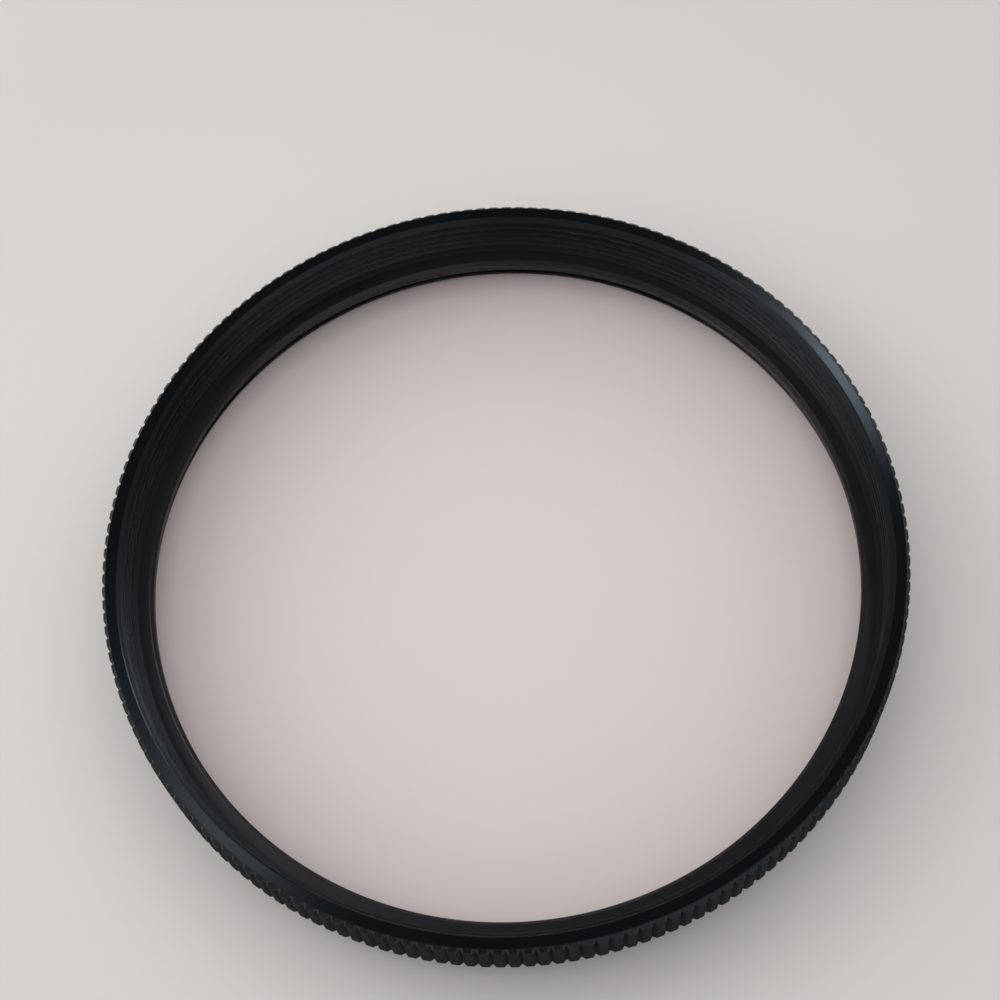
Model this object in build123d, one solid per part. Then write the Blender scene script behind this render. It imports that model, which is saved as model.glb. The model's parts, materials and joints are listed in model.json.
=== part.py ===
"""Screw-in lens filter: a knurled metal ring, a tinted glass disc and the slotted ring that clamps it.

Millimetres, +Z along the optical axis towards the subject. The origin is the centre of the rear
face, on which the filter lies. The accessory threads are plain cylinders at their crests, where a
mating part first touches them, and the retaining ring's thread is plain at its root.
"""

import os

from build123d import *

# Accessory thread: the rear one screws into the lens, the front one takes the next filter or a cap
thread_diameter = 52.0
thread_pitch = 0.75
rear_thread_allowance = 0.025  # radial, so that the rear thread runs freely in a lens

# Heights, from the rear face up to the front rim
seat_thickness = 0.7
glass_thickness = 1.8
retaining_ring_thickness = 0.8
retaining_ring_recess = 0.1  # its top lies this far under the foot of the front thread
front_thread_depth = 3.4
rear_thread_length = 2.4  # rear face to the shoulder that stops against the lens

# Radial walls, all counted from the thread or from each other
grip_overhang = 1.0  # grip band outside the thread's nominal radius
pocket_wall = 0.95  # between the rear thread's nominal radius and the glass pocket
seat_width = 0.5  # how far the seat reaches in under the glass
retaining_thread_step = 0.5  # retaining ring's thread inside the accessory thread, radial
retaining_thread_pitch = 0.5
retaining_ring_cover = 0.75  # how far the retaining ring reaches in over the glass

# Clearances
glass_clearance = 0.1  # radial, glass in its pocket
retaining_ring_clearance = 0.04  # radial, retaining ring in its thread
clamp_room = 0.15  # thread left below the retaining ring, so that it bears on the glass

# Edges
thread_lead_in = 0.35
front_entry = 0.4
grip_chamfer = 0.3
rear_bevel = 0.5
relief_slope = 0.2
relief_corner = 0.2
relief_depth = 0.05  # neck below the rear thread's root
glass_bevel = 0.15
retaining_ring_bevel = 0.25

# Straight knurl round the grip band: V grooves of a right angle
knurl_count = 180
knurl_depth = 0.22
knurl_overcut = 0.1

# Spanner slots across the retaining ring
slot_count = 2
slot_width = 1.6
slot_depth = 0.45
slot_angle = 90.0  # of the first slot, from +X
slot_overcut = 0.2

# Metric thread form: an inner crest lies this many pitches inside the nominal radius
INNER_CREST_PITCHES = 0.54127
OUTER_ROOT_PITCHES = 0.61343

# Levels
seat_z = seat_thickness
glass_top_z = seat_z + glass_thickness
retaining_ring_top_z = glass_top_z + retaining_ring_thickness
front_thread_foot_z = retaining_ring_top_z + retaining_ring_recess
rim_z = front_thread_foot_z + front_thread_depth
shoulder_z = rear_thread_length

# Radii
nominal_r = thread_diameter / 2
rear_thread_r = nominal_r - rear_thread_allowance
rear_neck_r = rear_thread_r - OUTER_ROOT_PITCHES * thread_pitch - relief_depth
front_thread_r = nominal_r - INNER_CREST_PITCHES * thread_pitch
grip_r = nominal_r + grip_overhang
pocket_r = nominal_r - pocket_wall
seat_r = pocket_r - seat_width
glass_r = pocket_r - glass_clearance
retaining_bore_r = nominal_r - retaining_thread_step - INNER_CREST_PITCHES * retaining_thread_pitch
retaining_ring_r = retaining_bore_r - retaining_ring_clearance
retaining_ring_inner_r = glass_r - retaining_ring_cover


def lathe(section):
    """A turned solid: the closed (radius, height) section revolved about the optical axis."""
    with BuildPart() as turned:
        with BuildSketch(Plane.XZ):
            with BuildLine():
                Polyline(*section, close=True)
            make_face()
        revolve(axis=Axis.Z)
    return turned.part


def filter_ring():
    """The frame: rear thread with its relief, knurled grip band, front thread, glass pocket and seat."""
    neck_top_z = shoulder_z - relief_corner
    neck_foot_z = neck_top_z - relief_slope
    outside = [
        (seat_r + rear_bevel, 0),
        (rear_thread_r - thread_lead_in, 0),
        (rear_thread_r, thread_lead_in),
        (rear_thread_r, neck_foot_z - relief_slope),
        (rear_neck_r, neck_foot_z),
        (rear_neck_r, neck_top_z),
        (nominal_r, shoulder_z),
        (grip_r - grip_chamfer, shoulder_z),
        (grip_r, shoulder_z + grip_chamfer),
        (grip_r, rim_z - grip_chamfer),
        (grip_r - grip_chamfer, rim_z),
    ]
    inside = [
        (front_thread_r + front_entry, rim_z),
        (front_thread_r, rim_z - front_entry),
        (front_thread_r, front_thread_foot_z),
        (retaining_bore_r, front_thread_foot_z),
        (retaining_bore_r, glass_top_z - clamp_room),
        (pocket_r, glass_top_z - clamp_room),
        (pocket_r, seat_z),
        (seat_r, seat_z),
        (seat_r, rear_bevel),
    ]
    groove = [
        (-knurl_depth, 0),
        (knurl_overcut, knurl_depth + knurl_overcut),
        (knurl_overcut, -knurl_depth - knurl_overcut),
    ]
    with BuildPart() as ring:
        add(lathe(outside + inside))
        with BuildSketch():
            Circle(grip_r)
            with PolarLocations(grip_r, knurl_count):
                Polygon(*groove, align=None, mode=Mode.SUBTRACT)
        extrude(amount=rim_z, mode=Mode.INTERSECT)
    return ring.part


def filter_glass():
    """The tinted disc, with its ground edge bevelled on both faces."""
    return lathe(
        [
            (0, seat_z),
            (glass_r - glass_bevel, seat_z),
            (glass_r, seat_z + glass_bevel),
            (glass_r, glass_top_z - glass_bevel),
            (glass_r - glass_bevel, glass_top_z),
            (0, glass_top_z),
        ]
    )


def retaining_ring():
    """The threaded ring that clamps the glass, bevelled inside and slotted for a pin spanner."""
    width = retaining_ring_r - retaining_ring_inner_r
    with BuildPart() as ring:
        add(
            lathe(
                [
                    (retaining_ring_inner_r, glass_top_z),
                    (retaining_ring_r, glass_top_z),
                    (retaining_ring_r, retaining_ring_top_z),
                    (retaining_ring_inner_r + retaining_ring_bevel, retaining_ring_top_z),
                    (retaining_ring_inner_r, retaining_ring_top_z - retaining_ring_bevel),
                ]
            )
        )
        with BuildSketch(Plane.XY.offset(retaining_ring_top_z)):
            with PolarLocations(retaining_ring_inner_r + width / 2, slot_count, start_angle=slot_angle):
                Rectangle(width + 2 * slot_overcut, slot_width)
        extrude(amount=-slot_depth, mode=Mode.SUBTRACT)
    return ring.part


def main():
    """Writes one STEP file for each piece."""
    os.makedirs("parts", exist_ok=True)
    for piece in (filter_ring, filter_glass, retaining_ring):
        export_step(piece(), f"parts/{piece.__name__}.step")


main()
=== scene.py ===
"""Looks of a screw-in lens filter: knurled and threaded black ring, pink glass, slotted clamp ring.

Lengths in the classes are millimetres where nothing else is said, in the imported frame, with +Z
towards the subject. A mesh is scaled to metres as it is made.
"""

import json
import logging
import math
from dataclasses import dataclass
from enum import Enum
from typing import Any, ClassVar, Mapping

import bmesh
import bpy
from bpy.types import Material, Mesh, Node, NodeSocket, NodeTree, Object
from mathutils import Matrix, Vector


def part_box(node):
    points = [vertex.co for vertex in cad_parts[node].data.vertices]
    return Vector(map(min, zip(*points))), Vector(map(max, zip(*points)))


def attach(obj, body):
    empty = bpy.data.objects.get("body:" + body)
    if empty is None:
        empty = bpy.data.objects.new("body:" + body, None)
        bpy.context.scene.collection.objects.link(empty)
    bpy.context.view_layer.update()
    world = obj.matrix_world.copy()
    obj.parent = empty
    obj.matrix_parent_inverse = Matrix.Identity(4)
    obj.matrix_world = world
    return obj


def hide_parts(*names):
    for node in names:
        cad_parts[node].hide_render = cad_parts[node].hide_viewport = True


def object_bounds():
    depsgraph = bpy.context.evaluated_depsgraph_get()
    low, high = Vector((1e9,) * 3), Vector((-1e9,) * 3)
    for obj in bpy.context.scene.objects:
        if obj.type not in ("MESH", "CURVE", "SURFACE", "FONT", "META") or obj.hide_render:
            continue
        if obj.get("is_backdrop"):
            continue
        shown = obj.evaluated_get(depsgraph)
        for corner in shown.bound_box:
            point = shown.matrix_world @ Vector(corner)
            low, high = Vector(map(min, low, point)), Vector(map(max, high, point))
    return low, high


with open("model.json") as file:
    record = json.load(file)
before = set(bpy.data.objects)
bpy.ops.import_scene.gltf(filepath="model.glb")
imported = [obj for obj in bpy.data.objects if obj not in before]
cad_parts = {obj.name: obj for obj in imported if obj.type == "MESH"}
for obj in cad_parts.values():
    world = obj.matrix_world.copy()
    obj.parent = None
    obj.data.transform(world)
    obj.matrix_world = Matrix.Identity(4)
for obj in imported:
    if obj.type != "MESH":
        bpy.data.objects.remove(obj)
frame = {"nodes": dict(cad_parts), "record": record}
cad_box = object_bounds()

LOG = logging.getLogger("lens_filter")
MM = 0.001
TURN = 2 * math.pi
BODY = "root"

Pair = tuple[float, float]
Triple = tuple[float, float, float]


class Field:
    """A value inside a node tree, on which arithmetic adds Math nodes."""

    def __init__(self, tree: "Tree", socket: NodeSocket) -> None:
        """Keeps the tree and the output socket that the value comes from."""
        self.tree = tree
        self.socket = socket

    def __add__(self, other: "Value") -> "Field":
        """This plus other."""
        return self.tree.math("ADD", self, other)

    def __sub__(self, other: "Value") -> "Field":
        """This minus other."""
        return self.tree.math("SUBTRACT", self, other)

    def __rsub__(self, other: "Value") -> "Field":
        """Other minus this."""
        return self.tree.math("SUBTRACT", other, self)

    def __mul__(self, other: "Value") -> "Field":
        """This times other."""
        return self.tree.math("MULTIPLY", self, other)

    def __truediv__(self, other: "Value") -> "Field":
        """This over other."""
        return self.tree.math("DIVIDE", self, other)

    def __gt__(self, other: "Value") -> "Field":
        """1 where this is more than other, or else 0."""
        return self.tree.math("GREATER_THAN", self, other)

    def __lt__(self, other: "Value") -> "Field":
        """1 where this is less than other, or else 0."""
        return self.tree.math("LESS_THAN", self, other)

    def __abs__(self) -> "Field":
        """This without its sign."""
        return self.tree.math("ABSOLUTE", self)


Value = Field | float | int | tuple


class Tree:
    """A node tree that is written as calls and formulas, for geometry and for finishes."""

    def __init__(self, nodes: NodeTree) -> None:
        """Keeps the node tree that is written."""
        self.nodes = nodes

    def node(self, kind: str, inputs: Mapping[Any, Any] | None = None, **settings: Any) -> Node:
        """Adds a node.

        Args:
            kind: Blender's name of the node's type.
            inputs: what goes into each input, by its name or number.
            settings: the node's own options.

        Returns:
            The new node.
        """
        made = self.nodes.nodes.new(kind)
        for name, value in settings.items():
            setattr(made, name, value)
        for name, value in (inputs or {}).items():
            self.put(made.inputs[name], value)
        return made

    def put(self, socket: NodeSocket, value: Any) -> None:
        """Links a field or an output to an input socket, or sets the plain value on it.

        Args:
            socket: the input socket.
            value: the field, output socket or plain value that goes into it.
        """
        if isinstance(value, Field):
            value = value.socket
        if isinstance(value, NodeSocket):
            self.nodes.links.new(value, socket)
        else:
            socket.default_value = value

    def field(self, node: Node, output: str | int = 0) -> Field:
        """One output of a node, as a field."""
        return Field(self, node.outputs[output])

    def math(self, operation: str, *values: Value) -> Field:
        """A Math node of that operation on the values."""
        return self.field(self.node("ShaderNodeMath", dict(enumerate(values)), operation=operation))

    def share(self, value: Value, low: Value, high: Value, smooth: bool = False) -> Field:
        """How far a value is from low to high.

        Args:
            value: the value that is placed.
            low: where the share is 0.
            high: where the share is 1.
            smooth: whether the share eases in and out.

        Returns:
            The share, held between 0 and 1.
        """
        kind = "SMOOTHSTEP" if smooth else "LINEAR"
        inputs = {"Value": value, "From Min": low, "From Max": high}
        return self.field(self.node("ShaderNodeMapRange", inputs, interpolation_type=kind))

    def between(self, share: Value, low: Value, high: Value) -> Field:
        """The value at that share of the way from low to high."""
        inputs = {"Value": share, "To Min": low, "To Max": high}
        return self.field(self.node("ShaderNodeMapRange", inputs))

    def axes(self, vector: Any) -> tuple[Field, Field, Field]:
        """A vector's X, Y and Z."""
        split = self.node("ShaderNodeSeparateXYZ", {0: vector})
        return self.field(split, 0), self.field(split, 1), self.field(split, 2)

    def vector(self, x: Value, y: Value, z: Value) -> Field:
        """A vector of three fields."""
        return self.field(self.node("ShaderNodeCombineXYZ", {0: x, 1: y, 2: z}))


class GeometryTree(Tree):
    """A geometry node tree with named inputs, which turns a starting mesh into a finished piece."""

    def __init__(self, name: str) -> None:
        """Makes an empty tree with a geometry input and output.

        Args:
            name: the tree's name.
        """
        super().__init__(bpy.data.node_groups.new(name, "GeometryNodeTree"))
        self.sizes: dict[str, Any] = {}
        self.material: Material | None = None
        face = self.nodes.interface
        face.new_socket("Geometry", in_out="OUTPUT", socket_type="NodeSocketGeometry")
        face.new_socket("Geometry", in_out="INPUT", socket_type="NodeSocketGeometry")
        self.given = self.nodes.nodes.new("NodeGroupInput")

    @property
    def start(self) -> NodeSocket:
        """The starting mesh."""
        return self.given.outputs["Geometry"]

    def size(self, name: str, value: Any, kind: str = "NodeSocketFloat") -> Field:
        """Adds a named input.

        Args:
            name: the input's name.
            value: what the piece gives it.
            kind: the type of its socket.

        Returns:
            The input, as a field.
        """
        socket = self.nodes.interface.new_socket(name, in_out="INPUT", socket_type=kind)
        self.sizes[socket.identifier] = value
        return Field(self, self.given.outputs[name])

    def capture(self, geometry: Any, **values: Value) -> tuple[NodeSocket, dict[str, Field]]:
        """Keeps point values on a geometry, so that they last through what is done to it.

        Args:
            geometry: the geometry's socket.
            values: the values to keep, by name.

        Returns:
            The geometry that carries them, and each kept value.
        """
        node = self.node("GeometryNodeCaptureAttribute", domain="POINT")
        for name in values:
            node.capture_items.new("FLOAT", name)
        self.put(node.inputs[0], geometry)
        for number, value in enumerate(values.values(), 1):
            self.put(node.inputs[number], value)
        kept = {name: self.field(node, number) for number, name in enumerate(values, 1)}
        return node.outputs[0], kept

    def finish(self, geometry: Any, material: Material) -> None:
        """Ends the tree: real faces, then the finish.

        Args:
            geometry: the finished shape's socket.
            material: the finish.
        """
        self.material = material
        finish = self.size("Finish", material, "NodeSocketMaterial")
        real = self.node("GeometryNodeRealizeInstances", {0: geometry})
        inputs = {"Geometry": real.outputs[0], "Material": finish}
        dressed = self.node("GeometryNodeSetMaterial", inputs)
        self.node("NodeGroupOutput", {0: dressed.outputs[0]})

    def make(self, name: str, start: Mesh) -> Object:
        """Runs the tree on a mesh.

        Args:
            name: the piece's name.
            start: the mesh that the tree starts from.

        Returns:
            The finished piece, a plain mesh with no modifier.
        """
        piece = add_object(name, start)
        modifier = piece.modifiers.new("form", "NODES")
        modifier.node_group = self.nodes
        for identifier, value in self.sizes.items():
            modifier[identifier] = value
        graph = bpy.context.evaluated_depsgraph_get()
        made = bpy.data.meshes.new_from_object(piece.evaluated_get(graph), depsgraph=graph)
        made.name = name
        made.materials.clear()
        made.materials.append(self.material)
        made.polygons.foreach_set("material_index", [0] * len(made.polygons))
        piece.modifiers.remove(modifier)
        piece.data = made
        return piece


def add_object(name: str, data: Any) -> Object:
    """Puts an object in the scene.

    Args:
        name: the object's name.
        data: its mesh, lamp or camera.

    Returns:
        The new object.
    """
    made = bpy.data.objects.new(name, data)
    bpy.context.scene.collection.objects.link(made)
    return made


@dataclass(frozen=True)
class Corner:
    """One corner of a turned section.

    Attributes:
        r: radius in millimetres.
        z: height in millimetres.
        rub: how far the sharp edge is broken, along both its sides.
        step: spacing of the rows on the run to the next corner, or 0 for none.
    """

    r: float
    z: float
    rub: float = 0.0
    step: float = 0.0


@dataclass(frozen=True)
class Section:
    """A closed turned section, as the corners that it goes round."""

    corners: tuple[Corner, ...]

    def stations(self) -> list[tuple[Vector, bool]]:
        """The section's points.

        Returns:
            Each point as (radius, height), with whether it lies on a broken edge.
        """
        places = [Vector((c.r, c.z)) for c in self.corners]
        ends = []
        for i, corner in enumerate(self.corners):
            ahead = (places[(i + 1) % len(places)] - places[i]).normalized()
            behind = (places[i - 1] - places[i]).normalized()
            ends.append((places[i] + behind * corner.rub, places[i] + ahead * corner.rub))
        found = []
        for i, corner in enumerate(self.corners):
            first, last = ends[i]
            rubbed = corner.rub > 0
            found += [(first, rubbed), (last, rubbed)] if rubbed else [(first, False)]
            reach = ends[(i + 1) % len(ends)][0] - last
            rows = max(1, round(reach.length / corner.step)) if corner.step else 1
            found += [(last + reach * (row / rows), False) for row in range(1, rows)]
        return found

    def mesh(self, name: str) -> Mesh:
        """Draws the section as a closed line in the XZ plane, with its broken edges marked.

        Args:
            name: the mesh's name.

        Returns:
            The line, in metres.
        """
        stations = self.stations()
        made = bpy.data.meshes.new(name)
        points = [(place.x * MM, 0, place.y * MM) for place, _ in stations]
        made.from_pydata(points, [(i, (i + 1) % len(points)) for i in range(len(points))], [])
        mark = made.attributes.new("rub", "FLOAT", "POINT")
        mark.data.foreach_set("value", [float(rubbed) for _, rubbed in stations])
        return made


class Side(Enum):
    """Which way a thread's crests point, as the Math operation that cuts its turns."""

    INNER = "MAXIMUM"
    OUTER = "MINIMUM"


@dataclass(frozen=True)
class Thread:
    """A single right-hand thread of the metric form.

    Attributes:
        name: what its inputs are called.
        side: whether it is cut in a bore or on a shaft.
        pitch: height of one turn.
        crest: radius of the crests.
        foot: height of its blind end, where its depth fades out.
        mouth: height of its open end.
        run_out: height over which its depth fades out.
    """

    name: str
    side: Side
    pitch: float
    crest: float
    foot: float
    mouth: float
    run_out: float

    # Rows that draw one turn
    ROWS: ClassVar[int] = 14
    # How far from the crests a point is still cut, in depths
    REACH: ClassVar[float] = 1.05
    # Shares of the pitch: a flank, half of the flat on a crest, and the depth of the turns
    FLANK: ClassVar[float] = 0.3125
    INNER_FLAT: ClassVar[float] = 0.125
    OUTER_FLAT: ClassVar[float] = 0.0625
    INNER_DEPTH: ClassVar[float] = 0.54127
    OUTER_DEPTH: ClassVar[float] = 0.61343

    @property
    def depth(self) -> float:
        """From crest to root."""
        return self.pitch * (self.INNER_DEPTH if self.side is Side.INNER else self.OUTER_DEPTH)

    @property
    def step(self) -> float:
        """Spacing of the rows that draw its turns."""
        return self.pitch / self.ROWS

    def cut(
        self, tree: GeometryTree, plain: Field, r: Field, z: Field, angle: Field
    ) -> tuple[Field, Field]:
        """Cuts the thread into a swept section.

        Args:
            tree: the tree that is written.
            plain: radius of each point as turned, before any thread.
            r: radius of each point so far.
            z: height of each point.
            angle: angle of each point round the axis.

        Returns:
            The new radius, and where the thread is.
        """
        inner = self.side is Side.INNER
        labels = ("Pitch", "Crest Radius", "Depth", "Foot", "Mouth", "Run Out")
        values = (self.pitch, self.crest, self.depth, self.foot, self.mouth, self.run_out)
        pitch, crest, depth, foot, mouth, run_out = (
            tree.size(f"{self.name} {label}", value * MM) for label, value in zip(labels, values)
        )
        away = abs(tree.math("FRACT", z / pitch - angle / TURN) - 0.5)
        from_crest, flat = (away, self.INNER_FLAT) if inner else (0.5 - away, self.OUTER_FLAT)
        sunk = depth * tree.share(from_crest, flat, flat + self.FLANK)
        sunk = sunk * tree.share(abs(z - foot), 0, run_out, smooth=True)
        wall = tree.math(self.side.value, r, crest + sunk if inner else crest - sunk)
        along = ((z - foot) * (mouth - z)) > 0
        within = along * (abs(plain - crest) < depth * self.REACH)
        return r + (wall - r) * within, within


@dataclass(frozen=True)
class Knurl:
    """Straight V grooves of a right angle round a band.

    Attributes:
        count: grooves round the band.
        depth: of each groove.
        radius: of the band.
    """

    count: int
    depth: float
    radius: float

    POINTS: ClassVar[int] = 3

    def angle(self, tree: GeometryTree, index: Field) -> tuple[Field, Field]:
        """Spreads the sweep's points so that each groove has two edges and a bottom.

        Args:
            tree: the tree that is written.
            index: each point's number round the sweep.

        Returns:
            The angle of each point, and where the bottoms are.
        """
        count = tree.size("Groove Count", float(self.count))
        half = tree.size("Groove Half Angle", math.atan2(self.depth, self.radius))
        groove = tree.math("FLOOR", (index + 0.5) / self.POINTS)
        place = index - groove * self.POINTS - 1
        return groove * TURN / count + place * half, abs(place) < 0.5

    def cut(self, tree: GeometryTree, r: Field, bottom: Field) -> Field:
        """The radius of each point once the grooves are cut."""
        floor = tree.size("Groove Bottom Radius", (self.radius - self.depth) * MM)
        return r + (tree.math("MINIMUM", r, floor) - r) * bottom


@dataclass(frozen=True)
class Slots:
    """Slots across the top of a ring, for a pin spanner.

    Attributes:
        count: slots round the ring.
        width: of each slot.
        depth: of each slot.
        radius: of the ring's middle.
        length: of the cutter, across the ring.
        top: height of the ring's top.
    """

    count: int
    width: float
    depth: float
    radius: float
    length: float
    top: float

    def cut(self, tree: GeometryTree, ring: Any) -> NodeSocket:
        """Cuts the slots out of a closed ring.

        Args:
            tree: the tree that is written.
            ring: the ring's geometry.

        Returns:
            The slotted ring.
        """
        count = tree.size("Slot Count", self.count, "NodeSocketInt")
        labels = ("Radius", "Width", "Depth", "Length", "Top")
        values = (self.radius, self.width, self.depth, self.length, self.top)
        radius, width, depth, length, top = (
            tree.size(f"Slot {label}", value * MM) for label, value in zip(labels, values)
        )
        places = tree.node("GeometryNodeMeshCircle", {"Vertices": count, "Radius": radius})
        cutter = tree.node("GeometryNodeMeshCube", {"Size": tree.vector(length, width, depth * 2)})
        index = tree.field(tree.node("GeometryNodeInputIndex"))
        turned = tree.vector(0, 0, index * TURN / count)
        cutters = tree.node(
            "GeometryNodeInstanceOnPoints",
            {"Points": places.outputs[0], "Instance": cutter.outputs[0], "Rotation": turned},
        )
        raised = tree.vector(0, 0, top)
        inputs = {0: cutters.outputs[0], "Translation": raised, "Rotation": (0, 0, TURN / 4)}
        placed = tree.node("GeometryNodeTransform", inputs)
        real = tree.node("GeometryNodeRealizeInstances", {0: placed.outputs[0]})
        inputs = {"Mesh 1": ring, "Mesh 2": real.outputs[0]}
        cut = tree.node("GeometryNodeMeshBoolean", inputs, operation="DIFFERENCE", solver="EXACT")
        return cut.outputs[0]


@dataclass(frozen=True)
class TurnedRing:
    """A ring that is turned on a lathe, threaded, and knurled or slotted.

    Attributes:
        name: the piece's name.
        section: the turned section.
        threads: the threads that are cut into it.
        segments: points round the axis, where no knurl sets them.
        knurl: grooves round its outside, or None.
        slots: slots across its top, or None.
    """

    name: str
    section: Section
    threads: tuple[Thread, ...]
    segments: int = 0
    knurl: Knurl | None = None
    slots: Slots | None = None

    # Edges that fold by more than this stay sharp
    SHARP: ClassVar[float] = math.radians(15)

    def build(self, material: Material) -> Object:
        """Sweeps the section round the axis and cuts the threads, the knurl and the slots.

        Args:
            material: the ring's finish.

        Returns:
            The finished ring.
        """
        tree = GeometryTree(self.name)
        profile, kept = self._profile(tree)
        path, angle, bottom = self._path(tree)
        swept = tree.node("GeometryNodeCurveToMesh", {"Curve": path, "Profile Curve": profile})
        r, z = kept["r"], kept["z"]
        threaded: Value = 0
        for thread in self.threads:
            r, within = thread.cut(tree, kept["r"], r, z, angle)
            threaded = tree.math("MAXIMUM", threaded, within)
        if self.knurl is not None and bottom is not None:
            r = self.knurl.cut(tree, r, bottom)
        place = tree.vector(r * tree.math("COSINE", angle), r * tree.math("SINE", angle), z)
        inputs = {"Geometry": swept.outputs[0], "Position": place}
        placed = tree.node("GeometryNodeSetPosition", inputs)
        outward = tree.node("GeometryNodeFlipFaces", {0: placed.outputs[0]})
        solid = self._shade(tree, outward.outputs[0], threaded)
        if self.slots is not None:
            solid = self.slots.cut(tree, solid)
        tree.finish(solid, material)
        return tree.make(self.name, self.section.mesh(f"{self.name}_section"))

    def _profile(self, tree: GeometryTree) -> tuple[NodeSocket, dict[str, Field]]:
        """Turns the starting line into a curve that carries each point's radius and height.

        Args:
            tree: the tree that is written.

        Returns:
            The curve, and its kept radius r and height z.
        """
        line = tree.node("GeometryNodeMeshToCurve", {"Mesh": tree.start})
        x, _, height = tree.axes(tree.node("GeometryNodeInputPosition").outputs[0])
        return tree.capture(line.outputs[0], r=x, z=height)

    def _path(self, tree: GeometryTree) -> tuple[NodeSocket, Field, Field | None]:
        """Draws the circle of the sweep.

        Args:
            tree: the tree that is written.

        Returns:
            The circle, the angle of each point, and where the groove bottoms are, or None.
        """
        points = self.knurl.count * self.knurl.POINTS if self.knurl else self.segments
        segments = tree.size("Segments", points, "NodeSocketInt")
        circle = tree.node("GeometryNodeCurvePrimitiveCircle", {"Resolution": segments})
        number = tree.field(tree.node("GeometryNodeInputIndex"))
        path, kept = tree.capture(circle.outputs[0], index=number)
        if self.knurl is not None:
            return path, *self.knurl.angle(tree, kept["index"])
        return path, kept["index"] * TURN / segments, None

    def _shade(self, tree: GeometryTree, solid: Any, threaded: Value) -> NodeSocket:
        """Marks the turned corners as sharp, and leaves the threads' turns smooth.

        Args:
            tree: the tree that is written.
            solid: the swept ring's geometry.
            threaded: where the threads are.

        Returns:
            The marked geometry.
        """
        fold = tree.field(tree.node("GeometryNodeInputMeshEdgeAngle"))
        hard = (fold > tree.size("Sharp Angle", self.SHARP)) * (1 - threaded)
        smooth = tree.node("GeometryNodeSetShadeSmooth", {"Geometry": solid}, domain="FACE")
        inputs = {"Geometry": smooth.outputs[0], "Selection": hard, "Shade Smooth": False}
        return tree.node("GeometryNodeSetShadeSmooth", inputs, domain="EDGE").outputs[0]


@dataclass(frozen=True)
class FilterSizes:
    """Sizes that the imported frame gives, in millimetres.

    Attributes:
        grip_r: radius of the grip band.
        rim_z: height of the front rim.
        shoulder_z: height of the shoulder over the rear thread.
        front_r: radius of the front thread's crests.
        front_z: heights where the front thread's wall begins and ends.
        rear_r: radius of the rear thread's crests.
        rear_z: heights where the rear thread's wall begins and ends.
        glass_r: radius of the glass.
        glass_z: heights of the glass's two faces.
        clamp_r: radius of the retaining ring, at the roots of its thread.
        clamp_z: heights of the retaining ring's two faces.
    """

    grip_r: float
    rim_z: float
    shoulder_z: float
    front_r: float
    front_z: Pair
    rear_r: float
    rear_z: Pair
    glass_r: float
    glass_z: Pair
    clamp_r: float
    clamp_z: Pair

    @classmethod
    def from_frame(cls) -> "FilterSizes":
        """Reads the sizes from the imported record's mounts and the nodes' boxes.

        Returns:
            The sizes.
        """
        mounts = {mount["name"]: mount for mount in frame["record"]["mounts"]}
        boxes = {node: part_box(node) for node in frame["nodes"]}

        def wall(name: str) -> Pair:
            """The heights between which a round mount's wall runs."""
            middle, length = mounts[name]["pos_m"][2] / MM, mounts[name]["dims"]["length_mm"]
            return middle - length / 2, middle + length / 2

        def heights(node: str) -> Pair:
            """The heights of a node's lowest and highest faces."""
            return boxes[node][0].z / MM, boxes[node][1].z / MM

        return cls(
            grip_r=boxes["filter_ring"][1].x / MM,
            rim_z=mounts["front_rim"]["pos_m"][2] / MM,
            shoulder_z=mounts["rear_shoulder"]["pos_m"][2] / MM,
            front_r=mounts["front_thread"]["dims"]["r_mm"],
            front_z=wall("front_thread"),
            rear_r=mounts["rear_thread"]["dims"]["r_mm"],
            rear_z=wall("rear_thread"),
            glass_r=boxes["filter_glass"][1].x / MM,
            glass_z=heights("filter_glass"),
            clamp_r=boxes["retaining_ring"][1].x / MM,
            clamp_z=heights("retaining_ring"),
        )


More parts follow.
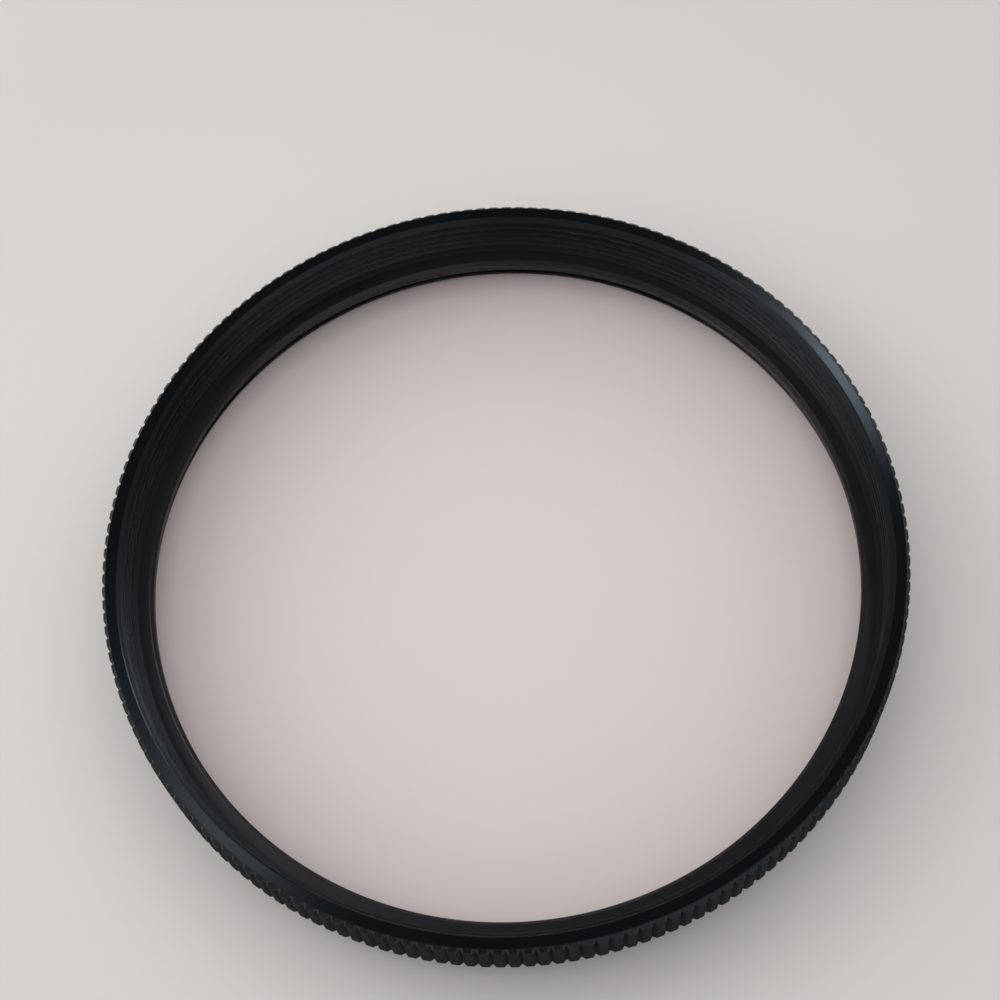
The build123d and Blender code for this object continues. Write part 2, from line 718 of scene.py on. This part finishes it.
@dataclass(frozen=True)
class FilterRing:
    """The frame of the filter: threads, relief, knurled grip band, glass pocket and seat.

    Attributes:
        sizes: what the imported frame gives.
        pitch: of the front and rear threads.
        clamp_pitch: of the retaining ring's thread.
        clamp_clearance: between the retaining ring and the crests that it runs in, radial.
        clamp_room: thread left under the retaining ring.
        neck_depth: of the relief under the rear thread's crests.
        relief_rise: height of the relief's slope, and of its corner under the shoulder.
        shoulder_step: from the rear thread's crests to the shoulder's inner edge, radial.
        grip_chamfer: at both ends of the grip band.
        pocket_clearance: round the glass, radial.
        seat_width: how far the seat reaches in from the pocket.
        seat_bevel: under the seat.
        edge: how far the sharp edges are broken.
        groove_count: of the knurl.
        groove_depth: of the knurl.
    """

    sizes: FilterSizes
    pitch: float = 0.75
    clamp_pitch: float = 0.5
    clamp_clearance: float = 0.04
    clamp_room: float = 0.15
    neck_depth: float = 0.51
    relief_rise: float = 0.2
    shoulder_step: float = 0.025
    grip_chamfer: float = 0.3
    pocket_clearance: float = 0.1
    seat_width: float = 0.5
    seat_bevel: float = 0.5
    edge: float = 0.04
    groove_count: int = 180
    groove_depth: float = 0.22

    @property
    def pocket_r(self) -> float:
        """Radius of the glass pocket."""
        return self.sizes.glass_r + self.pocket_clearance

    @property
    def seat_r(self) -> float:
        """Radius of the hole through the seat."""
        return self.pocket_r - self.seat_width

    @property
    def clamp_bore_r(self) -> float:
        """Radius of the crests that the retaining ring runs in."""
        return self.sizes.clamp_r + self.clamp_clearance

    def front_thread(self) -> Thread:
        """The thread inside the rim."""
        s, pitch = self.sizes, self.pitch
        return Thread("Front", Side.INNER, pitch, s.front_r, s.front_z[0], s.rim_z, pitch / 2)

    def rear_thread(self) -> Thread:
        """The thread that screws into the lens."""
        s, rise = self.sizes, self.relief_rise
        return Thread("Rear", Side.OUTER, self.pitch, s.rear_r, s.rear_z[1] + rise, 0.0, rise)

    def clamp_thread(self) -> Thread:
        """The finer thread that holds the retaining ring."""
        s, pitch, foot = self.sizes, self.clamp_pitch, self.sizes.clamp_z[0] - self.clamp_room
        return Thread("Clamp", Side.INNER, pitch, self.clamp_bore_r, foot, s.front_z[0], pitch / 2)

    def section(self) -> Section:
        """Draws the turned section, up its outside and down its inside.

        Returns:
            The section.
        """
        s = self.sizes
        front, rear, clamp = self.front_thread(), self.rear_thread(), self.clamp_thread()
        neck_r = s.rear_r - self.neck_depth
        grip_edge_r = s.grip_r - self.grip_chamfer
        outside = (
            Corner(self.seat_r + self.seat_bevel, 0, self.edge),
            Corner(s.rear_r - s.rear_z[0], 0, self.edge, rear.step),
            Corner(s.rear_r, s.rear_z[0], 0, rear.step),
            Corner(s.rear_r, s.rear_z[1], 0, rear.step),
            Corner(neck_r, rear.foot),
            Corner(neck_r, s.shoulder_z - self.relief_rise),
            Corner(s.rear_r + self.shoulder_step, s.shoulder_z),
            Corner(grip_edge_r, s.shoulder_z, self.edge),
            Corner(s.grip_r, s.shoulder_z + self.grip_chamfer, self.edge),
            Corner(s.grip_r, s.rim_z - self.grip_chamfer, self.edge),
            Corner(grip_edge_r, s.rim_z, self.edge),
        )
        inside = (
            Corner(s.front_r + s.rim_z - s.front_z[1], s.rim_z, self.edge, front.step),
            Corner(s.front_r, s.front_z[1], 0, front.step),
            Corner(s.front_r, s.front_z[0]),
            Corner(self.clamp_bore_r, s.front_z[0], 0, clamp.step),
            Corner(self.clamp_bore_r, clamp.foot),
            Corner(self.pocket_r, clamp.foot),
            Corner(self.pocket_r, s.glass_z[0]),
            Corner(self.seat_r, s.glass_z[0], self.edge),
            Corner(self.seat_r, self.seat_bevel, self.edge),
        )
        return Section(outside + inside)

    def build(self, material: Material) -> Object:
        """Makes the ring.

        Args:
            material: its finish.

        Returns:
            The finished piece.
        """
        threads = (self.front_thread(), self.rear_thread(), self.clamp_thread())
        knurl = Knurl(self.groove_count, self.groove_depth, self.sizes.grip_r)
        return TurnedRing("ring_body", self.section(), threads, knurl=knurl).build(material)


@dataclass(frozen=True)
class RetainingRing:
    """The threaded ring that clamps the glass.

    Attributes:
        sizes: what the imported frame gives.
        frame_ring: the ring that it screws into.
        cover: how far it reaches in over the glass.
        crest_clearance: between its crests and the roots that they run in.
        lead: chamfer at both ends of its thread.
        bevel: at the top of its hole.
        edge: how far the sharp edges are broken.
        slot_count: slots for a pin spanner.
        slot_width: of each slot.
        slot_depth: of each slot.
        segments: points round the axis.
    """

    sizes: FilterSizes
    frame_ring: FilterRing
    cover: float = 0.75
    crest_clearance: float = 0.03
    lead: float = 0.15
    bevel: float = 0.25
    edge: float = 0.03
    slot_count: int = 2
    slot_width: float = 1.6
    slot_depth: float = 0.45
    segments: int = 360

    def build(self, material: Material) -> Object:
        """Makes the ring.

        Args:
            material: its finish.

        Returns:
            The finished piece.
        """
        low, high = self.sizes.clamp_z
        female = self.frame_ring.clamp_thread()
        crest = female.crest + female.depth - self.crest_clearance
        hole = self.sizes.glass_r - self.cover
        thread = Thread("Clamp", Side.OUTER, female.pitch, crest, low, high, self.lead)
        section = Section(
            (
                Corner(hole, low),
                Corner(crest - self.lead, low, 0, thread.step),
                Corner(crest, low + self.lead, 0, thread.step),
                Corner(crest, high - self.lead, 0, thread.step),
                Corner(crest - self.lead, high),
                Corner(hole + self.bevel, high, self.edge),
                Corner(hole, high - self.bevel, self.edge),
            )
        )
        width = crest - hole
        slots = Slots(
            self.slot_count,
            self.slot_width,
            self.slot_depth,
            radius=hole + width / 2,
            length=2 * width,
            top=high,
        )
        ring = TurnedRing("clamp_ring", section, (thread,), self.segments, slots=slots)
        return ring.build(material)


@dataclass(frozen=True)
class FilterGlass:
    """The glass disc, flat on both faces, with a bevelled ground edge.

    Attributes:
        sizes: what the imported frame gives.
        bevel: at both edges.
        segments: points round the edge.
    """

    sizes: FilterSizes
    bevel: float = 0.15
    segments: int = 256

    def build(self, material: Material) -> Object:
        """Makes the disc.

        Args:
            material: its finish.

        Returns:
            The finished piece.
        """
        s = self.sizes
        low, high = s.glass_z
        outline = (
            (s.glass_r - self.bevel, low),
            (s.glass_r, low + self.bevel),
            (s.glass_r, high - self.bevel),
            (s.glass_r - self.bevel, high),
        )
        made = bmesh.new()
        rings = [
            [made.verts.new(self._place(r, z, i)) for i in range(self.segments)] for r, z in outline
        ]
        for lower, upper in zip(rings, rings[1:]):
            for i in range(self.segments):
                j = (i + 1) % self.segments
                made.faces.new((lower[i], lower[j], upper[j], upper[i])).smooth = True
        made.faces.new(reversed(rings[0]))
        made.faces.new(rings[-1])
        for ring in rings:
            for i, vertex in enumerate(ring):
                made.edges.get((vertex, ring[(i + 1) % self.segments])).smooth = False
        mesh = bpy.data.meshes.new("glass_disc")
        made.to_mesh(mesh)
        made.free()
        mesh.materials.append(material)
        return add_object("glass_disc", mesh)

    def _place(self, r: float, z: float, number: int) -> Triple:
        """A point of the edge, in metres."""
        angle = TURN * number / self.segments
        return r * MM * math.cos(angle), r * MM * math.sin(angle), z * MM


class Finish(Tree):
    """A material that is written as a node tree, from its own surface shader."""

    # Where most of the noise lies, between 0 and 1
    NOISE_SPAN: ClassVar[Pair] = (0.3, 0.7)
    # Over how far one look passes into the next, in millimetres
    SOFT_EDGE: ClassVar[float] = 0.05

    def __init__(self, name: str) -> None:
        """Makes a material with nothing in it but its output.

        Args:
            name: the material's name.
        """
        self.material = bpy.data.materials.new(name)
        self.material.use_nodes = True
        super().__init__(self.material.node_tree)
        self.nodes.nodes.clear()
        self.output = self.node("ShaderNodeOutputMaterial")

    def places(self) -> tuple[Field, Field, Field, Field]:
        """X, Y and Z of each point on the piece, and its distance from the axis, in metres."""
        x, y, z = self.axes(self.node("ShaderNodeTexCoord").outputs["Object"])
        return x, y, z, self.math("SQRT", x * x + y * y)

    def mix(self, share: Value, first: Any, second: Any) -> Field:
        """Mixes two colours.

        Args:
            share: how far to go from the first to the second.
            first: a colour, or the field of one.
            second: the other.

        Returns:
            The mixed colour.
        """
        made = self.node("ShaderNodeMix", data_type="RGBA")
        live = {socket.name: socket for socket in made.inputs if socket.enabled}
        for name, value in (("Factor", share), ("A", first), ("B", second)):
            self.put(live[name], value)
        return Field(self, next(socket for socket in made.outputs if socket.enabled))

    def noise(self, place: Field, scale: float, detail: float = 2.0) -> Field:
        """Soft noise between 0 and 1 at a place, with that many cells to the unit."""
        inputs = {"Vector": place, "Scale": scale, "Detail": detail}
        return self.field(self.node("ShaderNodeTexNoise", inputs))

    def principled(self, inputs: Mapping[str, Any]) -> NodeSocket:
        """A Principled BSDF with those inputs."""
        return self.node("ShaderNodeBsdfPrincipled", inputs).outputs[0]

    def surfaced(self, shader: NodeSocket) -> Material:
        """The material, with that shader as its surface."""
        self.put(self.output.inputs["Surface"], shader)
        return self.material


@dataclass(frozen=True)
class BlackAnodising:
    """Turned aluminium, anodised black: fine tool marks round the axis under a dyed satin skin.

    Attributes:
        name: the material's name.
        colour: of the dyed skin.
        faded: colour where the dye is thinnest.
        roughness: lowest and highest.
        anisotropy: how far the tool marks draw out a highlight.
        gloss: colour of the skin's reflections.
        thread_r: radius within which the threads lie, or 0.
        thread_roughness: of the threads.
        thread_colour: of the threads.
        painted_foot_light: heights where the threads' painted light is full and fades out, or None.
        painted_foot_light_colour: the threads' tone where that painted light is full.
        grip: radius and height of the grip band's upper edge, or None.
        grip_roughness: of the grip band.
        mark_width: of the tool marks.
        mark_depth: of the tool marks.
        specular: level of the skin's gloss.
    """

    name: str
    colour: Triple
    faded: Triple
    roughness: Pair
    anisotropy: float
    gloss: Triple
    thread_r: float = 0.0
    thread_roughness: float = 0.4
    thread_colour: Triple = (0.0085, 0.0082, 0.009)
    painted_foot_light: Pair | None = None
    painted_foot_light_colour: Triple = (0.019, 0.0183, 0.0198)
    grip: Pair | None = None
    grip_roughness: float = 0.95
    mark_width: float = 0.09
    mark_depth: float = 0.0012
    specular: float = 0.3

    # A quarter turn: highlights are drawn out across the tool marks
    ACROSS_MARKS: ClassVar[float] = 0.25
    # Cells of the marks' noise to a radian, and of the blotches to a metre
    MARK_BENDS: ClassVar[float] = 3.0
    BLOTCH: ClassVar[float] = 260.0
    # Shares of the blotches and of the rubbed edges in the fading
    FADING: ClassVar[Pair] = (0.7, 0.3)
    # Shares of the marks and of the blotches in the wear, and what it loses at rubbed edges
    WEAR: ClassVar[Pair] = (0.6, 0.4)
    POLISH: ClassVar[float] = 0.3

    def build(self) -> Material:
        """Writes the material.

        Returns:
            The finish of a ring, with the threads and the grip band told apart by where they lie.
        """
        tree = Finish(self.name)
        x, y, z, r = tree.places()
        around = tree.math("ARCTAN2", y, x)
        per_mark = 1 / (self.mark_width * MM)
        turned = tree.vector(r * per_mark, z * per_mark, around * self.MARK_BENDS)
        marks = tree.noise(turned, 1.0, detail=3.0)
        blotches = tree.noise(tree.vector(x, y, z), self.BLOTCH, detail=4.0)
        rubbed = tree.field(tree.node("ShaderNodeAttribute", attribute_name="rub"), "Fac")
        thin = tree.share(blotches, *tree.NOISE_SPAN) * self.FADING[0] + rubbed * self.FADING[1]
        colour = tree.mix(thin, (*self.colour, 1), (*self.faded, 1))
        worn = marks * self.WEAR[0] + blotches * self.WEAR[1] - rubbed * self.POLISH
        rough = tree.between(worn, *self.roughness)
        if self.thread_r:
            threads = tree.share(r, (self.thread_r + tree.SOFT_EDGE) * MM, self.thread_r * MM)
            tone: Any = (*self.thread_colour, 1)
            if self.painted_foot_light is not None:
                # Painted light: the threads are painted lighter towards their foot, where shade
                # falls by the ledge
                lies, gone = (height * MM for height in self.painted_foot_light)
                painted_foot_share = tree.share(z, gone, lies) * (z > lies - tree.SOFT_EDGE * MM)
                tone = tree.mix(painted_foot_share, tone, (*self.painted_foot_light_colour, 1))
            colour = tree.mix(threads, colour, tone)
            rough = rough + (self.thread_roughness - rough) * threads
        if self.grip is not None:
            grip_r, grip_z = self.grip
            band = tree.share(r, (grip_r - tree.SOFT_EDGE) * MM, grip_r * MM)
            band = band * tree.share(z, grip_z * MM, (grip_z - tree.SOFT_EDGE) * MM)
            rough = rough + (self.grip_roughness - rough) * band
        bump = tree.node("ShaderNodeBump", {"Height": marks, "Distance": self.mark_depth * MM})
        tangent = tree.node("ShaderNodeTangent", direction_type="RADIAL", axis="Z")
        skin = {
            "Base Color": colour,
            "Roughness": rough,
            "Specular IOR Level": self.specular,
            "Specular Tint": (*self.gloss, 1),
            "Anisotropic": self.anisotropy,
            "Anisotropic Rotation": self.ACROSS_MARKS,
            "Tangent": tangent.outputs[0],
            "Normal": bump.outputs[0],
        }
        return tree.surfaced(tree.principled(skin))


@dataclass(frozen=True)
class PinkGlass:
    """Polished glass with a faint pink cast, a thin coating against glare and a ground edge.

    Attributes:
        name: the material's name.
        colour: what the glass lets through.
        deeper: what it lets through where its cast is deepest.
        edge_r: radius beyond which it is ground.
        edge_roughness: of the ground edge.
        ior: how much the glass bends light.
        film_nm: thickness of the coating, in nanometres.
        film_ior: of the coating.
    """

    name: str
    colour: Triple
    deeper: Triple
    edge_r: float
    edge_roughness: float = 0.4
    ior: float = 1.52
    film_nm: float = 100.0
    film_ior: float = 1.38

    # Cells of the cast's drift to the metre
    DRIFT: ClassVar[float] = 45.0

    def build(self) -> Material:
        """Writes the material.

        Returns:
            The glass, through which light falls straight onto the floor, with the same cast.
        """
        tree = Finish(self.name)
        x, y, z, r = tree.places()
        cast = tree.noise(tree.vector(x, y, z), self.DRIFT)
        drift = tree.share(cast, *tree.NOISE_SPAN, smooth=True)
        ground = tree.share(r, self.edge_r * MM, (self.edge_r + tree.SOFT_EDGE) * MM)
        polished = {
            "Base Color": tree.mix(drift, (*self.colour, 1), (*self.deeper, 1)),
            "Roughness": ground * self.edge_roughness,
            "IOR": self.ior,
            "Transmission Weight": 1.0,
            "Thin Film Thickness": self.film_nm,
            "Thin Film IOR": self.film_ior,
        }
        seen = tree.principled(polished)
        # Light passes two faces, so each lets through the root of the cast
        face = tuple(math.sqrt(share) for share in self.colour)
        clear = tree.node("ShaderNodeBsdfTransparent", {"Color": (*face, 1)})
        path = tree.node("ShaderNodeLightPath")
        for kind in ("Is Shadow Ray", "Is Diffuse Ray"):
            inputs = {0: path.outputs[kind], 1: seen, 2: clear.outputs[0]}
            seen = tree.node("ShaderNodeMixShader", inputs).outputs[0]
        return tree.surfaced(seen)


@dataclass(frozen=True)
class PalePaper:
    """Off-white paper with a faint tooth, painted brighter round the middle as a pool of light.

    Attributes:
        name: the material's name.
        colour: of the paper.
        painted_pool_radius: how far out the painted pool of light dims to its edge tone, in metres.
        painted_pool_rim_tone: the edge tone of that painted pool over the middle's.
        tooth: cells to the metre.
        tooth_depth: of those cells.
        roughness: of the paper.
        specular: level of its gloss.
    """

    name: str
    colour: Triple
    painted_pool_radius: float = 0.06
    painted_pool_rim_tone: float = 0.84
    tooth: float = 1500.0
    tooth_depth: float = 0.01
    roughness: float = 0.9
    specular: float = 0.1

    def build(self) -> Material:
        """Writes the material.

        Returns:
            The floor's finish.
        """
        tree = Finish(self.name)
        x, y, z, r = tree.places()
        grain = tree.noise(tree.vector(x, y, z), self.tooth, detail=3.0)
        # Painted light: a pool of light, brightest in the middle and darker towards its edge tone
        away = tree.share(r, 0, self.painted_pool_radius, smooth=True)
        tone = tree.between(away, 1, self.painted_pool_rim_tone)
        inputs = {0: self.colour, "Scale": tone}
        colour = tree.node("ShaderNodeVectorMath", inputs, operation="SCALE")
        bump = tree.node("ShaderNodeBump", {"Height": grain, "Distance": self.tooth_depth * MM})
        sheet = {
            "Base Color": colour.outputs[0],
            "Roughness": self.roughness,
            "Specular IOR Level": self.specular,
            "Normal": bump.outputs[0],
        }
        return tree.surfaced(tree.principled(sheet))


class Reach(Enum):
    """What a lamp lights, as whether it reaches matt surfaces and whether it shows in gloss."""

    SOFT = (True, False)
    GLINT = (False, True)


@dataclass(frozen=True)
class SoftLight:
    """A square soft box that looks at the object.

    Attributes:
        name: the lamp's name.
        azimuth: degrees round from +X.
        elevation: degrees above the floor.
        side: of the box, in metres.
        level: how bright it alone would make a white floor.
        distance: in metres.
        reach: what it lights.
        colour: of its light.
    """

    name: str
    azimuth: float
    elevation: float
    side: float
    level: float
    distance: float = 0.6
    reach: Reach = Reach.GLINT
    colour: Triple = (1.0, 1.0, 1.0)

    def build(self, target: Vector) -> None:
        """Hangs the lamp over a target, where the camera doesn't see it.

        Args:
            target: where it looks, in metres.
        """
        around, up = math.radians(self.azimuth), math.radians(self.elevation)
        flat = math.cos(up)
        away = Vector((math.cos(around) * flat, math.sin(around) * flat, math.sin(up)))
        lamp = bpy.data.lights.new(self.name, "AREA")
        lamp.shape = "SQUARE"
        lamp.size = self.side
        lamp.color = self.colour
        lamp.energy = self.level * (math.pi * self.distance) ** 2 / math.sin(up)
        made = add_object(self.name, lamp)
        made.location = target + away * self.distance
        made.rotation_mode = "QUATERNION"
        made.rotation_quaternion = away.to_track_quat("Z", "Y")
        made.visible_camera = False
        made.visible_diffuse, made.visible_glossy = self.reach.value


@dataclass(frozen=True)
class PhotoCamera:
    """The camera's place, fitted to the ring's edges in the photograph.

    Attributes:
        elevation: degrees above the rim's plane.
        distance: from the rim's centre, in millimetres.
        roll: degrees that the picture is turned, counter-clockwise.
        focal: focal length in pixels of the square picture.
        side: of the picture, in pixels.
        offset: where the rim's centre shows, in pixels right of and above the picture's centre.
        sensor: width in millimetres.
    """

    elevation: float = 66.8
    distance: float = 133.6
    roll: float = 6.88
    focal: float = 2000.0
    side: float = 1000.0
    offset: Pair = (-3.3, -48.1)
    sensor: float = 36.0

    def build(self, target: Vector) -> None:
        """Sets the camera up and makes it the scene's own.

        Args:
            target: the rim's centre, in metres.
        """
        up = math.radians(self.elevation)
        back = Vector((0, -math.cos(up), math.sin(up)))
        right = Vector((1, 0, 0))
        facing = Matrix((right, back.cross(right), back)).transposed().to_4x4()
        pan = Matrix.Rotation(math.atan2(self.offset[0], self.focal), 4, "Y")
        tilt = Matrix.Rotation(-math.atan2(self.offset[1], self.focal), 4, "X")
        roll = Matrix.Rotation(-math.radians(self.roll), 4, "Z")
        data = bpy.data.cameras.new("camera")
        data.sensor_width = self.sensor
        data.lens = self.sensor * self.focal / self.side
        data.clip_start = MM
        camera = add_object("camera", data)
        place = Matrix.Translation(target + back * self.distance * MM)
        camera.matrix_world = place @ facing @ pan @ tilt @ roll
        bpy.context.scene.camera = camera


@dataclass(frozen=True)
class Stage:
    """The pale floor, the light and the camera.

    Attributes:
        paper: the floor's finish.
        lights: the soft boxes.
        camera: the camera.
        sky: level of the soft light from all round.
        sky_azimuth: degrees round from +X of the side where that light is brightest.
        sky_lean: how much brighter it is there than overhead.
        room: level of the dim room that gloss and glass show.
        room_colour: of that room and of the walls.
        horizon: level of the pale walls that stand round the floor.
        floor_side: in metres.
    """

    paper: PalePaper
    lights: tuple[SoftLight, ...]
    camera: PhotoCamera
    sky: float
    sky_azimuth: float
    sky_lean: float
    room: float
    room_colour: Triple
    horizon: float
    floor_side: float = 6.0

    WHITE: ClassVar[Triple] = (1.0, 1.0, 1.0)
    # Sine of the elevation where the pale walls end
    WALL_TOP: ClassVar[float] = 0.25
    SEEN_BY: ClassVar[tuple[str, ...]] = ("Is Camera Ray", "Is Glossy Ray", "Is Transmission Ray")

    def build(self, target: Vector) -> None:
        """Sets the stage.

        Args:
            target: what the lamps and the camera look at, in metres.
        """
        self._floor()
        self._world()
        for light in self.lights:
            light.build(target)
        self.camera.build(target)
        bpy.context.scene.view_settings.view_transform = "Standard"

    def _floor(self) -> None:
        """Lays the floor that the filter lies on."""
        half = self.floor_side / 2
        mesh = bpy.data.meshes.new("floor")
        corners = [(-half, -half, 0), (half, -half, 0), (half, half, 0), (-half, half, 0)]
        mesh.from_pydata(corners, [], [(0, 1, 2, 3)])
        mesh.materials.append(self.paper.build())
        add_object("floor", mesh)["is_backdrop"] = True

    def _world(self) -> None:
        """Lights the scene softly from all round, and gives gloss and glass a room to show."""
        world = bpy.data.worlds.new("studio")
        world.use_nodes = True
        tree = Tree(world.node_tree)
        tree.nodes.nodes.clear()
        x, y, z = tree.axes(tree.node("ShaderNodeTexCoord").outputs["Generated"])
        around = math.radians(self.sky_azimuth)
        lean = (x * math.cos(around) + y * math.sin(around)) * (self.sky * self.sky_lean)
        soft = self._background(tree, self.WHITE, lean + self.sky)
        level = tree.between(tree.share(z, 0, self.WALL_TOP, smooth=True), self.horizon, self.room)
        room = self._background(tree, self.room_colour, level)
        path = tree.node("ShaderNodeLightPath")
        seen = tree.field(path, self.SEEN_BY[0])
        for kind in self.SEEN_BY[1:]:
            seen = tree.math("MAXIMUM", seen, tree.field(path, kind))
        mixed = tree.node("ShaderNodeMixShader", {0: seen, 1: soft, 2: room})
        tree.node("ShaderNodeOutputWorld", {0: mixed.outputs[0]})
        bpy.context.scene.world = world

    def _background(self, tree: Tree, colour: Triple, strength: Field) -> NodeSocket:
        """Light of one colour from all round."""
        inputs = {"Color": (*colour, 1), "Strength": strength}
        return tree.node("ShaderNodeBackground", inputs).outputs[0]


RING_FINISH = BlackAnodising(
    "black_anodising",
    (0.002, 0.0024, 0.0028),
    (0.0032, 0.0038, 0.0044),
    (0.23, 0.29),
    anisotropy=0.9,
    gloss=(0.78, 0.92, 1.0),
    thread_r=25.95,
    # Painted light on the threads, full at their foot at 3.4 mm and gone by 5.2 mm
    painted_foot_light=(3.4, 5.2),
    grip=(26.75, 6.5),
)
CLAMP_FINISH = BlackAnodising(
    "matt_black_anodising",
    (0.0095, 0.0092, 0.0101),
    (0.0122, 0.0117, 0.0128),
    (0.36, 0.46),
    anisotropy=0.5,
    gloss=(0.95, 0.92, 1.0),
)
GLASS_FINISH = PinkGlass("faint_pink_glass", (1.0, 0.953, 0.953), (1.0, 0.943, 0.944), edge_r=24.75)
STAGE = Stage(
    paper=PalePaper("pale_paper", (0.86, 0.832, 0.81)),
    lights=(
        SoftLight("left_window", 165, 32, side=0.14, level=0.1, distance=0.2, reach=Reach.SOFT),
        SoftLight("near_right", 300, 32, side=0.6, level=0.14),
        SoftLight("near_left", 225, 32, side=0.6, level=0.05),
        SoftLight("left_pane", 188, 33, side=0.4, level=0.06),
        SoftLight("left_glow", 165, 68, side=0.12, level=0.12),
        SoftLight("right_glow", 60, 50, side=0.08, level=0.04),
        SoftLight("spark", 53.5, 50, side=0.07, level=0.15, colour=(0.9, 0.97, 1.08)),
    ),
    camera=PhotoCamera(),
    sky=0.805,
    sky_azimuth=100,
    sky_lean=0.45,
    room=0.06,
    room_colour=(0.97, 1.0, 1.03),
    horizon=0.7,
)


def dress(piece: Object, node: str) -> None:
    """Puts a finished piece in the frame in place of a CAD node, and reports it.

    Args:
        piece: the finished piece.
        node: the CAD node that it stands for.
    """
    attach(piece, BODY)
    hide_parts(node)
    piece.data.calc_loop_triangles()
    LOG.info("%s stands for %s: %d triangles", piece.name, node, len(piece.data.loop_triangles))


def write_sizes() -> None:
    """Writes the CAD model's box and the visual model's box."""
    boxes = {"cad": cad_box, "visual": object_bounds()}
    plain = {name: [list(corner) for corner in box] for name, box in boxes.items()}
    LOG.info("sizes %s", plain)


def main() -> None:
    """Builds the filter's pieces, then the stage round them."""
    logging.basicConfig(level=logging.INFO, format="%(name)s: %(message)s")
    sizes = FilterSizes.from_frame()
    ring = FilterRing(sizes)
    dress(ring.build(RING_FINISH.build()), "filter_ring")
    dress(RetainingRing(sizes, ring).build(CLAMP_FINISH.build()), "retaining_ring")
    dress(FilterGlass(sizes).build(GLASS_FINISH.build()), "filter_glass")
    STAGE.build(Vector((0, 0, sizes.rim_z * MM)))
    write_sizes()


if __name__ == "__main__":
    main()
